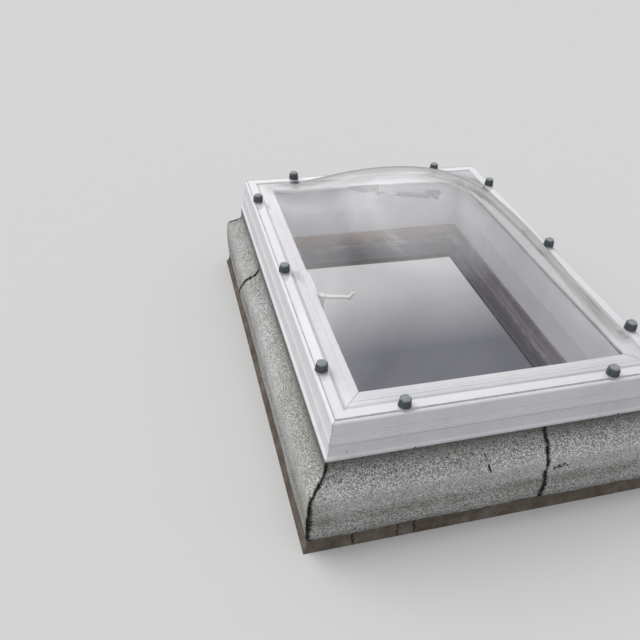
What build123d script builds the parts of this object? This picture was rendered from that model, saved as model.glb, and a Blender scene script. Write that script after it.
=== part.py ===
from build123d import *
import math
import os

# Opening roof skylight on its felt-clad kerb, in millimetres.
# X runs across the short side, Y along the long side, Z up from the roof surface.
# The origin is the bottom centre of the kerb. The sash is hinged along its right side.
# Heights inside a section are given down from the sash top, distances out from its edge.

# Driving sizes of the window
sash_width = 870.0
sash_length = 1170.0
sash_top = 365.0
opening_inset = 85.0
parting_depth = 64.0
parting_gap = 2.0
frame_depth = 107.0
board_top_depth = 206.0

# Sash section
rim_width = 8.0
seat_drop = 5.0
seat_end = 58.0
sash_inner = 86.0
sash_lip = 15.0
inner_rim_drop = 3.6
sash_body_inner = 70.0
sash_flare = 6.5

# Fixed frame section
rib_inner = opening_inset
rib_thick = 10.0
rib_depth = 19.0
lip_out = 13.0
lip_thick = 2.2
channel_rise = 5.5

# Kerb build-up
wall_corner_radius = 10.0
felt_thick = 4.8
felt_clear = 0.3
felt_foot_height = 37.0
flare_start_drop = 43.0
flare_start_out = 11.3
shoulder_rise = 16.0
shoulder_out = 57.0
kerb_belly_out = 60.0
tuck_rise = 28.0
tuck_out = 59.0
kerb_foot_out = 56.0
seam_width = 4.0
seam_sink = 1.0
lining_thick = 18.0
lining_proud = 4.0
lining_upper_height = 64.0
lining_joint = 2.0
lining_foot_height = 32.0
lining_edge = 3.0
board_edge = 1.0
timber_thick = 52.0
strip_thick = 4.0
strip_gap = 1.0
strip_foot_out = 66.0
strip_bend_out = 2.0
strip_bend_drop = 20.0
strip_bend_radius = 30.0

# Small screw eye in the lower lining board on the right
eye_y = 73.0
eye_height = 44.0
eye_ring_radius = 6.5
eye_wire_radius = 1.5
eye_shank_length = 16.0

# Wear on the front of the fixed frame: a stray screw hole and two chips in the lip
stray_hole_x = -398.0
stray_hole_depth = 89.0
stray_hole_radius = 2.2
stray_hole_deep = 12.0
chip_places = (-235.0, 303.0)
chip_height = 6.5

# Screws that hold the fixed frame and the upstand down on the timber
frame_screw_inset = 45.0
frame_screw_pitch = 400.0
frame_screw_end_x = 240.0
frame_screw_radius = 3.0
frame_screw_head = 6.0
frame_screw_head_height = 3.0
frame_screw_length = 165.0

# Dome skins
skin_thick = 3.0
tape_thick = 2.0
flange_edge = 9.0
outer_kick = 37.0
inner_kick = 50.0
outer_rise = 160.0
inner_rise = 134.0
dome_plan_power = 2.1
dome_edge_power = 3.0
dome_crown_power = 2.9

# Dome screws and caps
screw_inset = 18.0
side_screw_pitch = 419.0
end_screw_x = 264.7
screw_radius = 2.75
screw_length = 42.0
screw_head_radius = 6.0
screw_head_height = 4.0
screw_clear = 0.05
skin_hole_radius = 4.0
cap_base_radius = 16.5
cap_base_height = 6.0
cap_flat_bottom = 29.0
cap_flat_top = 26.0
cap_height = 24.5
cap_wall = 2.0

# Hinges on the right long side
hinge_out = 14.5
hinge_pin_radius = 3.0
knuckle_radius = 6.2
hinge_length = 80.0
hinge_end_inset = 205.0
knuckle_middle = 36.0
knuckle_gap = 0.5
running_fit = 0.05
leaf_gap = 0.6
leaf_foot_rise = 12.0
leaf_foot_out = 11.0
leaf_screw_pitch = 28.0
leaf_screw_edge = 5.0
leaf_screw_radius = 2.0
leaf_screw_length = 24.0
leaf_screw_head = 4.2
leaf_screw_head_height = 2.0
pin_head_radius = 4.5
pin_head_height = 2.0

# Gas spring across the back
spring_standoff = 30.0
spring_fixed_inset = 190.0
spring_fixed_depth = 56.0
spring_reach = 227.0
spring_moving_depth = 22.0
spring_tube_radius = 9.0
spring_tube_length = 125.0
spring_rod_radius = 4.0
spring_bore_radius = 6.5
spring_socket_radius = 7.5
spring_socket_length = 28.0
spring_end_length = 24.0
stud_radius = 4.0
drum_half = 8.0
neck_radius = 4.5
bracket_thick = 3.0

# Handle on the left inner side
handle_y = -104.0
handle_standoff = 17.0
plate_back_y = -8.0
plate_thick = 4.0
plate_height = 37.0
handle_length = 85.0
handle_drop = 14.0
spindle_radius = 5.0
tongue_length = 14.4
tongue_width = 9.0
tongue_thick = 6.0

half_w = sash_width / 2
half_l = sash_length / 2
hinge_place = half_l - hinge_end_inset
spare = 50.0
parts = {}


def z_at(depth):
    """Height above the roof of a depth below the sash top."""
    return sash_top - depth


def side_plane(side):
    """Drawing plane of one side: x is outward from the sash edge, y is height from the sash top."""
    if side == "right":
        return Plane(origin=(half_w, 0, sash_top), x_dir=(1, 0, 0), z_dir=(0, -1, 0))
    if side == "left":
        return Plane(origin=(-half_w, 0, sash_top), x_dir=(-1, 0, 0), z_dir=(0, 1, 0))
    if side == "back":
        return Plane(origin=(0, half_l, sash_top), x_dir=(0, 1, 0), z_dir=(1, 0, 0))
    return Plane(origin=(0, -half_l, sash_top), x_dir=(0, -1, 0), z_dir=(-1, 0, 0))


def mitre_wedge(side, gap):
    """The part of the plan that belongs to one side, between its two mitres, less half a seam."""
    deep = opening_inset + spare
    wide = kerb_belly_out + spare
    cut = gap / math.sqrt(2)
    if side in ("left", "right"):
        s = 1 if side == "right" else -1
        pts = [
            (s * (half_w - deep), half_l - deep - cut),
            (s * (half_w + wide), half_l + wide - cut),
            (s * (half_w + wide), -half_l - wide + cut),
            (s * (half_w - deep), -half_l + deep + cut),
        ]
    else:
        s = 1 if side == "back" else -1
        pts = [
            (half_w - deep - cut, s * (half_l - deep)),
            (half_w + wide - cut, s * (half_l + wide)),
            (-half_w - wide + cut, s * (half_l + wide)),
            (-half_w + deep + cut, s * (half_l - deep)),
        ]
    plan = make_face(Polyline(*pts, close=True))
    return extrude(Pos(0, 0, -spare) * plan, amount=sash_top + 2 * spare)


def member(face, side, gap=0.0):
    """One straight member of a section, mitred at both ends."""
    span = (half_l if side in ("left", "right") else half_w) + kerb_belly_out + 2 * spare
    bar = extrude(side_plane(side) * face, amount=span, both=True)
    return bar & mitre_wedge(side, gap)


def ring(face):
    """A section carried round all four sides and welded at the mitres."""
    body = member(face, "left") + member(face, "right")
    return body + member(face, "front") + member(face, "back")


def polygon(points, rounds=None):
    """A closed section; rounds gives the radius at chosen corners."""
    face = make_face(Polyline(*points, close=True))
    for index, radius in (rounds or {}).items():
        x, y = points[index]
        corner = face.vertices().sort_by(lambda v: (v.X - x) ** 2 + (v.Y - y) ** 2)[0]
        face = fillet(corner, radius)
    return face


def ring_places():
    """Where the ten dome screws stand, as x, y pairs."""
    places = []
    for sx in (-1, 1):
        for k in (-1, 0, 1):
            places.append((sx * (half_w - screw_inset), k * side_screw_pitch))
    for sy in (-1, 1):
        for sx in (-1, 1):
            places.append((sx * end_screw_x, sy * (half_l - screw_inset)))
    return places


def rod_between(a, b, radius):
    """A round bar from point a to point b."""
    start = Vector(*a)
    direction = Vector(*b) - start
    plane = Plane(origin=start, z_dir=direction.normalized())
    return extrude(plane * Circle(radius), amount=direction.length)


# Sash: one welded frame, with the flat seat for the dome on top
sash_face = polygon(
    [
        (-rim_width, -seat_drop),
        (-rim_width, 0),
        (0, 0),
        (0.5, -33),
        (4.2, -50),
        (3.2, -50.6),
        (3.5, -52),
        (4.8, -52.4),
        (sash_flare, -61),
        (sash_flare - 0.7, -parting_depth),
        (-sash_body_inner + 5, -parting_depth),
        (-sash_body_inner, -parting_depth + 5),
        (-sash_body_inner, -sash_lip - 6),
        (-sash_body_inner - 6, -sash_lip),
        (-sash_inner, -sash_lip),
        (-sash_inner, -inner_rim_drop),
        (-seat_end, -inner_rim_drop),
        (-seat_end, -seat_drop),
    ],
    {1: 1.2, 2: 6.5, 3: 12, 15: 2.0, 16: 0.6},
)
sash = ring(sash_face)

# Fixed frame: welded, with the lip over the felt outside and a rib inside
frame_top = parting_depth + parting_gap
fixed_face = polygon(
    [
        (3, -frame_top),
        (7.5, -frame_depth + 10),
        (lip_out, -frame_depth + 6),
        (lip_out, -frame_depth),
        (lip_out - lip_thick, -frame_depth),
        (lip_out - lip_thick, -frame_depth + channel_rise),
        (5.2, -frame_depth + channel_rise),
        (5.2, -frame_depth),
        (-rib_inner, -frame_depth),
        (-rib_inner, -rib_depth),
        (-rib_inner + rib_thick, -rib_depth),
        (-rib_inner + rib_thick, -frame_top - 5),
        (-32, -frame_top - 5),
        (-32, -frame_top - 2),
        (-3, -frame_top - 2),
        (-3, -frame_top),
    ],
    {0: 1.5, 1: 4, 2: 2, 9: 1.5, 10: 1.5},
)
fixed = ring(fixed_face)

# Soft seal between the two frames, a D section with its lip towards the sash
gasket_top = parting_depth + 0.3
gasket_face = polygon(
    [
        (-30, -frame_top - 2),
        (-30, -gasket_top - 1.5),
        (-27, -gasket_top),
        (-19, -gasket_top),
        (-16, -gasket_top - 1.5),
        (-16, -frame_top - 2),
    ]
)
parts["frame_gasket"] = ring(gasket_face)

# Kerb outline: upright under the frame, swept out over the flange, then upright to the roof
bottom = sash_top
felt_foot_depth = sash_top - felt_foot_height
lip_inner = lip_out - lip_thick - felt_clear
flare_depth = frame_depth + flare_start_drop
shoulder_depth = board_top_depth - shoulder_rise
tuck_depth = felt_foot_depth - tuck_rise
belly_depth = (shoulder_depth + tuck_depth) / 2
outline_points = [
    (lip_inner, -frame_depth + spare),
    (lip_inner, -frame_depth - 4),
    (flare_start_out, -flare_depth),
    (shoulder_out, -shoulder_depth),
    (kerb_belly_out, -belly_depth),
    (tuck_out, -tuck_depth),
    (kerb_foot_out, -felt_foot_depth - 2),
    (kerb_foot_out, -bottom - spare),
    (-opening_inset - spare, -bottom - spare),
    (-opening_inset - spare, -frame_depth + spare),
]
kerb_face = polygon(outline_points, {2: 30, 3: 24, 4: 60, 5: 30})
core_face = offset(kerb_face, amount=-felt_thick, kind=Kind.INTERSECTION)


def band(top_depth, bottom_depth, inward=0.0):
    """A rectangle of a section between two depths, from an inset out past the felt."""
    outward = kerb_belly_out + spare
    wide = outward + inward
    tall = bottom_depth - top_depth
    return Pos((outward - inward) / 2, -(top_depth + bottom_depth) / 2) * Rectangle(wide, tall)


felt_top_depth = frame_depth - channel_rise + felt_clear
felt_face = (kerb_face - core_face) & band(felt_top_depth, felt_foot_depth)
upstand_face = core_face & band(frame_depth, board_top_depth, opening_inset + spare / 2)
insulation_face = core_face & band(board_top_depth, bottom)

# Upstand: a moulded kerb on the boards, its inner wall splayed towards the foot


def clear_plan(inset, depth):
    """The clear opening at a depth, with the small radius of the moulding's corners."""
    plan = RectangleRounded(sash_width - 2 * inset, sash_length - 2 * inset, wall_corner_radius)
    return Pos(0, 0, z_at(depth)) * plan


lining_face_inset = timber_thick + lining_thick
wall_foot_inset = lining_face_inset - lining_proud
wall_cut = loft([clear_plan(wall_foot_inset, board_top_depth), clear_plan(opening_inset, frame_depth)])
upstand = ring(upstand_face) - wall_cut

# Seams: the lines where the felt sheets meet or have split, drawn on the unrolled faces
left_patch_line = [
    (236, -frame_depth + 12),
    (238, -156),
    (236, -168),
    (262, -208),
    (352, -296),
    (388, -felt_foot_depth - 15),
]
front_split_line = [
    (100, -frame_depth + 12),
    (116, -158),
    (108, -188),
    (111, -236),
    (122, -294),
    (126, -felt_foot_depth - 15),
]
small_split_line = [(-46, -156), (-47, -170), (-50, -186)]


def seam_cutter(points, side):
    """A slot of the seam's width, cut straight through the felt of one side."""
    line = Polyline(*points)
    slot = trace(line, seam_width)
    if side == "left":
        plane = Plane(origin=(-half_w - 100, 0, sash_top), x_dir=(0, 1, 0), z_dir=(1, 0, 0))
    else:
        plane = Plane(origin=(0, -half_l - 100, sash_top), x_dir=(1, 0, 0), z_dir=(0, -1, 0))
    if side == "left":
        return extrude(plane * slot, amount=105)
    return extrude(plane * slot, amount=-105)


left_cut = seam_cutter(left_patch_line, "left")
front_cut = seam_cutter(front_split_line, "front")
small_cut = seam_cutter(small_split_line, "front")
left_felt = member(felt_face, "left", seam_width / 2)
front_felt = member(felt_face, "front", seam_width / 2)
left_pieces = (left_felt - left_cut).solids().sort_by(Axis.Y)
front_pieces = (front_felt - front_cut - small_cut).solids().sort_by(Axis.X)
parts["felt_left_front"] = left_pieces[0]
parts["felt_left_back"] = left_pieces[-1]
parts["felt_front_left"] = front_pieces[0]
parts["felt_front_right"] = front_pieces[-1]
parts["felt_right"] = member(felt_face, "right", seam_width / 2)
parts["felt_back"] = member(felt_face, "back", seam_width / 2)

# Bitumen that shows in the seams, a little below the face of the felt
sunk_face = offset(kerb_face, amount=-seam_sink, kind=Kind.INTERSECTION)
bed_face = offset(kerb_face, amount=felt_clear - felt_thick, kind=Kind.INTERSECTION)
bead_face = (sunk_face - bed_face) & band(felt_top_depth, felt_foot_depth)
bead_ring = ring(bead_face)
corner_beads = bead_ring
for side_name in ("left", "right", "front", "back"):
    corner_beads = corner_beads - mitre_wedge(side_name, seam_width / 2)
beads = list(corner_beads.solids())
beads += list((member(bead_face, "left") & left_cut).solids())
beads += list((member(bead_face, "front") & front_cut).solids())
beads += list((member(bead_face, "front") & small_cut).solids())
parts["bitumen_seams"] = Compound(children=beads)

# Insulation strips between the timber kerb and the felt
for side_name in ("left", "right", "front", "back"):
    parts["insulation_" + side_name] = member(insulation_face, side_name)

# Foot strip: the weathered edge of the under-sheet below the felt, swept out on to the roof
core_foot_out = kerb_foot_out - felt_thick
strip_top = felt_foot_depth + strip_gap
strip_face = polygon(
    [
        (core_foot_out, -strip_top),
        (core_foot_out + strip_thick, -strip_top),
        (core_foot_out + strip_thick + strip_bend_out, -strip_top - strip_bend_drop),
        (strip_foot_out, -bottom),
        (core_foot_out, -bottom),
    ],
    {2: strip_bend_radius},
)
strip_face = strip_face - core_face
for side_name in ("left", "right", "front", "back"):
    parts["foot_strip_" + side_name] = member(strip_face, side_name)


def board(side, inset, thick, top_depth, bottom_depth, edge=board_edge):
    """A plain board of the kerb; the long sides run through and the short sides fit between."""
    tall = bottom_depth - top_depth
    outer_w = half_w - inset
    outer_l = half_l - inset
    if side in ("left", "right"):
        shape = Box(thick, 2 * outer_l, tall)
        sx = 1 if side == "right" else -1
        place = Pos(sx * (outer_w - thick / 2), 0, z_at(top_depth) - tall / 2)
    else:
        shape = Box(2 * (outer_w - thick), thick, tall)
        sy = 1 if side == "back" else -1
        place = Pos(0, sy * (outer_l - thick / 2), z_at(top_depth) - tall / 2)
    long_edges = shape.edges().filter_by(Axis.Y if side in ("left", "right") else Axis.X)
    return place * chamfer(long_edges, edge)


upper_bottom = board_top_depth + lining_upper_height
for side_name in ("left", "right", "front", "back"):
    parts["kerb_timber_" + side_name] = board(side_name, 0, timber_thick, board_top_depth, bottom)
    parts["lining_upper_" + side_name] = board(
        side_name, timber_thick, lining_thick, board_top_depth, upper_bottom, lining_edge
    )
    parts["lining_lower_" + side_name] = board(
        side_name,
        timber_thick,
        lining_thick,
        upper_bottom + lining_joint,
        bottom - lining_foot_height,
        lining_edge,
    )

# Screw eye: a bent wire ring whose shank is turned into the lower lining board
lining_face_x = half_w - lining_face_inset
eye_centre_x = lining_face_x - eye_ring_radius - eye_wire_radius - 1
eye_ring = Pos(eye_centre_x, eye_y, eye_height) * Rot(90, 0, 0) * Torus(eye_ring_radius, eye_wire_radius)
eye_start = (eye_centre_x + eye_ring_radius, eye_y, eye_height)
eye_end = (eye_centre_x + eye_ring_radius + eye_shank_length, eye_y, eye_height)
parts["lining_eye"] = eye_ring + rod_between(eye_start, eye_end, eye_wire_radius)
parts["lining_lower_right"] = parts["lining_lower_right"] - rod_between(
    eye_start, eye_end, eye_wire_radius + screw_clear
)

# Long screws that hold the fixed frame and the upstand down on the timber
frame_screw_top = frame_top + 5
frame_screw_places = []
for sx in (-1, 1):
    for k in (-1, 0, 1):
        frame_screw_places.append((sx * (half_w - frame_screw_inset), k * frame_screw_pitch))
for sy in (-1, 1):
    for sx in (-1, 1):
        frame_screw_places.append((sx * frame_screw_end_x, sy * (half_l - frame_screw_inset)))

frame_screws = []
for px, py in frame_screw_places:
    head = Pos(px, py, z_at(frame_screw_top)) * Cylinder(
        frame_screw_head, frame_screw_head_height, align=(Align.CENTER, Align.CENTER, Align.MIN)
    )
    shank = Pos(px, py, z_at(frame_screw_top) - frame_screw_length) * Cylinder(
        frame_screw_radius, frame_screw_length, align=(Align.CENTER, Align.CENTER, Align.MIN)
    )
    frame_screws.append((head + shank).solid())
    bore = Pos(px, py, z_at(frame_screw_top) - frame_screw_length - 1) * Cylinder(
        frame_screw_radius + screw_clear,
        frame_screw_length + 6,
        align=(Align.CENTER, Align.CENTER, Align.MIN),
    )
    fixed = fixed - bore
    upstand = upstand - bore
    if abs(px) > half_w - timber_thick:
        side_name = "right" if px > 0 else "left"
    else:
        side_name = "back" if py > 0 else "front"
    parts["kerb_timber_" + side_name] = parts["kerb_timber_" + side_name] - bore
parts["frame_screws"] = Compound(children=frame_screws)


def dome_height(u, v, rise):
    """Height of a blown skin at u, v from -1 to 1: straight 45 degree sides, rounded over a crown."""
    across = max(0.0, 1 - abs(u) ** dome_plan_power)
    along = max(0.0, 1 - abs(v) ** dome_plan_power)
    held = (across * along) ** dome_edge_power
    return rise * (1 - (1 - held) ** dome_crown_power) ** (1 / dome_crown_power)


def bump(a, b, rise, base):
    """The solid under a blown surface whose straight edges lie at a base height."""
    columns = 25
    rows = 33
    grid = []
    for j in range(rows):
        v = -1 + 2 * j / (rows - 1)
        line = []
        for i in range(columns):
            u = -1 + 2 * i / (columns - 1)
            line.append((a * u, b * v, base + dome_height(u, v, rise)))
        grid.append(line)
    face = Face.make_surface_from_array_of_points(grid, tol=0.05)
    return extrude(face, amount=400, dir=(0, 0, -1))


def skin(kick, rise, underside):
    """A blown acrylic skin with its flat flange; underside is the depth of the flange's lower face."""
    a = half_w - kick
    b = half_l - kick
    low = z_at(underside)
    flange_plan = RectangleRounded(2 * (half_w - flange_edge), 2 * (half_l - flange_edge), 10)
    flange = extrude(Pos(0, 0, low) * flange_plan, amount=skin_thick)
    keep = Pos(0, 0, low) * Box(
        2 * a + 10, 2 * b + 10, rise + 50, align=(Align.CENTER, Align.CENTER, Align.MIN)
    )
    outer = (bump(a, b, rise, low + skin_thick) & keep) + flange
    shrink = skin_thick * (math.sqrt(2) - 1)
    body = outer - bump(a - shrink, b - shrink, rise, low)
    for px, py in ring_places():
        body = body - Pos(px, py, low) * Cylinder(skin_hole_radius, 40)
    return body


# Dome: two skins on a soft tape, with a second tape between their flanges
inner_under = seat_drop - tape_thick
outer_under = inner_under - skin_thick - tape_thick
dome_inner = skin(inner_kick, inner_rise, inner_under)
dome_outer = skin(outer_kick, outer_rise, outer_under)
parts["dome_inner"] = dome_inner
parts["dome_outer"] = dome_outer


def tape(underside, inner_edge):
    """A flat sealing tape round the seat, with holes for the screws."""
    outer_plan = RectangleRounded(2 * (half_w - flange_edge - 3), 2 * (half_l - flange_edge - 3), 8)
    inner_plan = Rectangle(2 * (half_w - inner_edge), 2 * (half_l - inner_edge))
    low = z_at(underside)
    body = extrude(Pos(0, 0, low) * (outer_plan - inner_plan), amount=tape_thick)
    for px, py in ring_places():
        body = body - Pos(px, py, low) * Cylinder(skin_hole_radius, 20)
    return body


parts["dome_gasket"] = tape(seat_drop, 32)
parts["dome_spacer"] = tape(inner_under - skin_thick, 32)

# Ten screws through both flanges into the sash, each with a cap base and a hexagonal cap
flange_top = outer_under - skin_thick
up = (Align.CENTER, Align.CENTER, Align.MIN)
screws = []
bases = []
caps = []
for px, py in ring_places():
    top = z_at(flange_top)
    base_floor = 2.0
    shank = Pos(px, py, top + base_floor - screw_length) * Cylinder(screw_radius, screw_length, align=up)
    head = Pos(px, py, top + base_floor) * Cylinder(screw_head_radius, screw_head_height, align=up)
    screws.append((head + shank).solid())
    bore = Pos(px, py, top + base_floor - screw_length - 1) * Cylinder(
        screw_radius + screw_clear, screw_length + 1, align=up
    )
    sash = sash - bore
    skirt = Pos(px, py, top) * Cone(cap_base_radius, cap_base_radius - 3.5, cap_base_height, align=up)
    pocket = Pos(px, py, top + base_floor) * Cylinder(screw_head_radius + 2.5, 20, align=up)
    bases.append((skirt - pocket - bore).solid())
    hexagon_low = Plane((px, py, top + cap_base_height)) * RegularPolygon(
        cap_flat_bottom / 2, 6, major_radius=False
    )
    hexagon_high = Plane((px, py, top + cap_height)) * RegularPolygon(
        cap_flat_top / 2, 6, major_radius=False
    )
    shell = loft([hexagon_low, hexagon_high])
    shell = chamfer(shell.faces().sort_by(Axis.Z)[-1].edges(), 1.2)
    hollow = Pos(px, py, top + cap_height - cap_wall - 21) * Cylinder(
        screw_head_radius + 2.5, 21, align=up
    )
    caps.append((shell - hollow).solid())
parts["dome_screws"] = Compound(children=screws)
parts["cap_bases"] = Compound(children=bases)
parts["screw_caps"] = Compound(children=caps)

# Hinges: cranked leaves on the outer faces of the right side, with a pin each
pin_x = half_w + hinge_out
pin_depth = parting_depth + parting_gap / 2
sash_leaf_face = polygon(
    [
        (-4, -18),
        (4.5, -18),
        (6, -34),
        (hinge_out + 2, -pin_depth + knuckle_radius),
        (hinge_out - 5.2, -pin_depth + 2.5),
        (2, -pin_depth + 5),
    ]
)
leaf_foot = frame_depth - leaf_foot_rise
leaf_knee = (pin_depth + knuckle_radius + leaf_foot) / 2
fixed_leaf_face = polygon(
    [
        (0, -leaf_foot),
        (leaf_foot_out, -leaf_foot),
        (leaf_foot_out, -leaf_knee),
        (hinge_out + 2, -pin_depth - knuckle_radius),
        (hinge_out - 5, -pin_depth - knuckle_radius + 2),
        (0, -pin_depth - knuckle_radius - 1),
    ]
)


def along_right(face, y_low, y_high):
    """A section on the right side, run between two places along it."""
    bar = extrude(side_plane("right") * face, amount=y_high - y_low)
    box = bar.bounding_box()
    return Pos(0, y_low - box.min.Y, 0) * bar


def pin_cylinder(radius, y_low, y_high):
    """A cylinder on the hinge axis between two places along it."""
    return rod_between((pin_x, y_low, z_at(pin_depth)), (pin_x, y_high, z_at(pin_depth)), radius)


hinge_screws_sash = []
hinge_screws_fixed = []
for name, centre in (("front", -hinge_place), ("back", hinge_place)):
    y0 = centre - hinge_length / 2
    y1 = centre + hinge_length / 2
    m0 = centre - knuckle_middle / 2
    m1 = centre + knuckle_middle / 2
    room = knuckle_radius + leaf_gap
    sash_leaf = along_right(sash_leaf_face, y0, y1) - sash
    sash_leaf = sash_leaf - pin_cylinder(room, y0 - 1, m0) - pin_cylinder(room, m1, y1 + 1)
    sash_leaf = sash_leaf + pin_cylinder(knuckle_radius, m0 + knuckle_gap, m1 - knuckle_gap)
    sash_leaf = sash_leaf - pin_cylinder(hinge_pin_radius + running_fit, y0 - 1, y1 + 1)
    fixed_leaf = along_right(fixed_leaf_face, y0, y1) - fixed
    fixed_leaf = fixed_leaf - pin_cylinder(room, m0 - knuckle_gap, m1 + knuckle_gap)
    fixed_leaf = fixed_leaf + pin_cylinder(knuckle_radius, y0, m0 - knuckle_gap / 2)
    fixed_leaf = fixed_leaf + pin_cylinder(knuckle_radius, m1 + knuckle_gap / 2, y1)
    fixed_leaf = fixed_leaf - pin_cylinder(hinge_pin_radius, y0 - 1, y1 + 1)
    pin = pin_cylinder(hinge_pin_radius, y0, y1)
    pin = pin + pin_cylinder(pin_head_radius, y0 - pin_head_height, y0)
    for k in (-leaf_screw_pitch, 0, leaf_screw_pitch):
        for leaf_name, depth, face_out in (
            ("sash", 26.0, 5.2),
            ("fixed", leaf_foot - leaf_screw_edge, leaf_foot_out),
        ):
            y = centre + k
            seat = (half_w + face_out, y, z_at(depth))
            tip = (half_w + face_out - leaf_screw_length, y, z_at(depth))
            crown = (half_w + face_out + leaf_screw_head_height, y, z_at(depth))
            outside = (half_w + face_out + 3 * leaf_screw_head_height, y, z_at(depth))
            screw = rod_between(tip, seat, leaf_screw_radius) + rod_between(seat, crown, leaf_screw_head)
            hole = rod_between(tip, seat, leaf_screw_radius + screw_clear)
            spot = rod_between(seat, outside, leaf_screw_head + screw_clear)
            if leaf_name == "sash":
                sash_leaf = sash_leaf - hole - spot
                sash = sash - hole
                hinge_screws_sash.append(screw.solid())
            else:
                fixed_leaf = fixed_leaf - hole - spot
                fixed = fixed - hole
                hinge_screws_fixed.append(screw.solid())
    parts["hinge_sash_leaf_" + name] = sash_leaf
    parts["hinge_fixed_leaf_" + name] = fixed_leaf
    parts["hinge_pin_" + name] = pin
parts["hinge_screws_sash"] = Compound(children=hinge_screws_sash)
parts["hinge_screws_fixed"] = Compound(children=hinge_screws_fixed)

# Gas spring: tube on the fixed frame, rod to the sash, lying across the back of the opening
wall_y = half_l - opening_inset
spring_y = wall_y - spring_standoff
spring_fixed_x = half_w - spring_fixed_inset
spring_moving_x = spring_fixed_x - spring_reach
fixed_end = Vector(spring_fixed_x, spring_y, z_at(spring_fixed_depth))
moving_end = Vector(spring_moving_x, spring_y, z_at(spring_moving_depth))
spring_way = (moving_end - fixed_end).normalized()


def on_spring(distance):
    """A point on the spring's line, from its fixed end."""
    point = fixed_end + spring_way * distance
    return (point.X, point.Y, point.Z)


span = (moving_end - fixed_end).length
tube_start = spring_socket_length
tube_end = tube_start + spring_tube_length
tube = rod_between(on_spring(tube_start), on_spring(tube_end), spring_tube_radius)
tube = chamfer(tube.edges().filter_by(GeomType.CIRCLE), 1.5)
tube = tube - rod_between(on_spring(tube_start + 6), on_spring(tube_end - 8), spring_bore_radius)
tube = tube - rod_between(on_spring(tube_end - 9), on_spring(tube_end + 1), spring_rod_radius + running_fit)


def across(point, y_low, y_high, radius):
    """A bar parallel to the back wall's normal through a pivot of the spring."""
    return rod_between((point.X, y_low, point.Z), (point.X, y_high, point.Z), radius)


drum_low = spring_y - drum_half
drum_high = spring_y + drum_half
socket_neck = rod_between(on_spring(0), on_spring(tube_start), neck_radius)
socket_drum = across(fixed_end, drum_low, drum_high, spring_socket_radius)
stud_bore = across(fixed_end, drum_low + 3, drum_high + 1, stud_radius + running_fit)
parts["spring_tube"] = tube
parts["spring_tube_socket"] = socket_neck + socket_drum - stud_bore

piston_at = tube_start + 18
rod = rod_between(on_spring(piston_at), on_spring(span - spring_end_length), spring_rod_radius)
rod = rod + rod_between(on_spring(piston_at), on_spring(piston_at + 8), spring_bore_radius - running_fit)
end_neck = rod_between(on_spring(span - spring_end_length), on_spring(span), neck_radius)
end_drum = across(moving_end, drum_low, drum_high, spring_socket_radius)
sash_wall_y = half_l - sash_inner
stud_tip = sash_wall_y - bracket_thick - leaf_gap
end_stud = across(moving_end, drum_high, stud_tip, stud_radius)
parts["spring_rod"] = rod
parts["spring_rod_socket"] = end_neck + end_drum + end_stud

fixed_bracket_face = Pos(fixed_end.X, fixed_end.Z) * SlotOverall(64, 28)
bracket_plane = Plane(origin=(0, wall_y, 0), x_dir=(1, 0, 0), z_dir=(0, -1, 0))
fixed_bracket = extrude(bracket_plane * fixed_bracket_face, amount=bracket_thick)
fixed_stud = across(fixed_end, drum_low + 3.5, wall_y - bracket_thick, stud_radius)
collar = across(fixed_end, drum_high + 0.5, wall_y - bracket_thick, spring_socket_radius - 1)
parts["spring_fixed_bracket"] = fixed_bracket + fixed_stud + collar

sash_bracket_face = polygon(
    [
        (spring_moving_x - 100, z_at(3)),
        (spring_moving_x + 12, z_at(3)),
        (spring_moving_x + 12, z_at(spring_moving_depth + 10)),
        (spring_moving_x - 40, z_at(spring_moving_depth + 10)),
        (spring_moving_x - 100, z_at(sash_lip)),
    ],
    {2: 8, 3: 6},
)
sash_bracket_plane = Plane(origin=(0, sash_wall_y, 0), x_dir=(1, 0, 0), z_dir=(0, -1, 0))
sash_bracket = extrude(sash_bracket_plane * sash_bracket_face, amount=bracket_thick)
bracket_eye = across(moving_end, sash_wall_y - bracket_thick - 1, sash_wall_y + 1, stud_radius + 0.3)
parts["spring_sash_bracket"] = sash_bracket - bracket_eye

# Handle: a plate on the sash lip, a lever on an upright spindle, and a tongue below
plate_x = -half_w + sash_inner
handle_x = plate_x + handle_standoff
plate_front_y = handle_y - 12
plate_top_depth = 3.0
plate_face = Pos(0, 0) * RectangleRounded(plate_back_y - plate_front_y, plate_height, 3)
plate_plane = Plane(
    origin=(plate_x, (plate_back_y + plate_front_y) / 2, z_at(plate_top_depth + plate_height / 2)),
    x_dir=(0, 1, 0),
    z_dir=(1, 0, 0),
)
plate = extrude(plate_plane * plate_face, amount=plate_thick)
lug_low = 40.0
lug_high = 27.0
lug = Pos((plate_x + plate_thick + handle_x) / 2, handle_y, z_at((lug_low + lug_high) / 2)) * Box(
    handle_x - plate_x - plate_thick, 18, lug_low - lug_high
)
lug = lug + Pos(handle_x, handle_y, z_at((lug_low + lug_high) / 2)) * Cylinder(9, lug_low - lug_high)
plate = plate + lug
plate = plate - Pos(handle_x, handle_y, z_at(lug_low + 5)) * Cylinder(
    spindle_radius + running_fit, 40, align=up
)
plate_screws = []
for y in (plate_back_y - 14, plate_front_y + 22):
    depth = plate_top_depth + 6
    seat = (plate_x + plate_thick, y, z_at(depth))
    tip = (plate_x - 12, y, z_at(depth))
    crown = (plate_x + plate_thick + 2, y, z_at(depth))
    plate_screws.append((rod_between(tip, seat, 1.8) + rod_between(seat, crown, 3.6)).solid())
    hole = rod_between(tip, seat, 1.8 + screw_clear)
    plate = plate - hole
    sash = sash - hole
parts["handle_plate"] = plate
parts["handle_screws"] = Compound(children=plate_screws)

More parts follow.
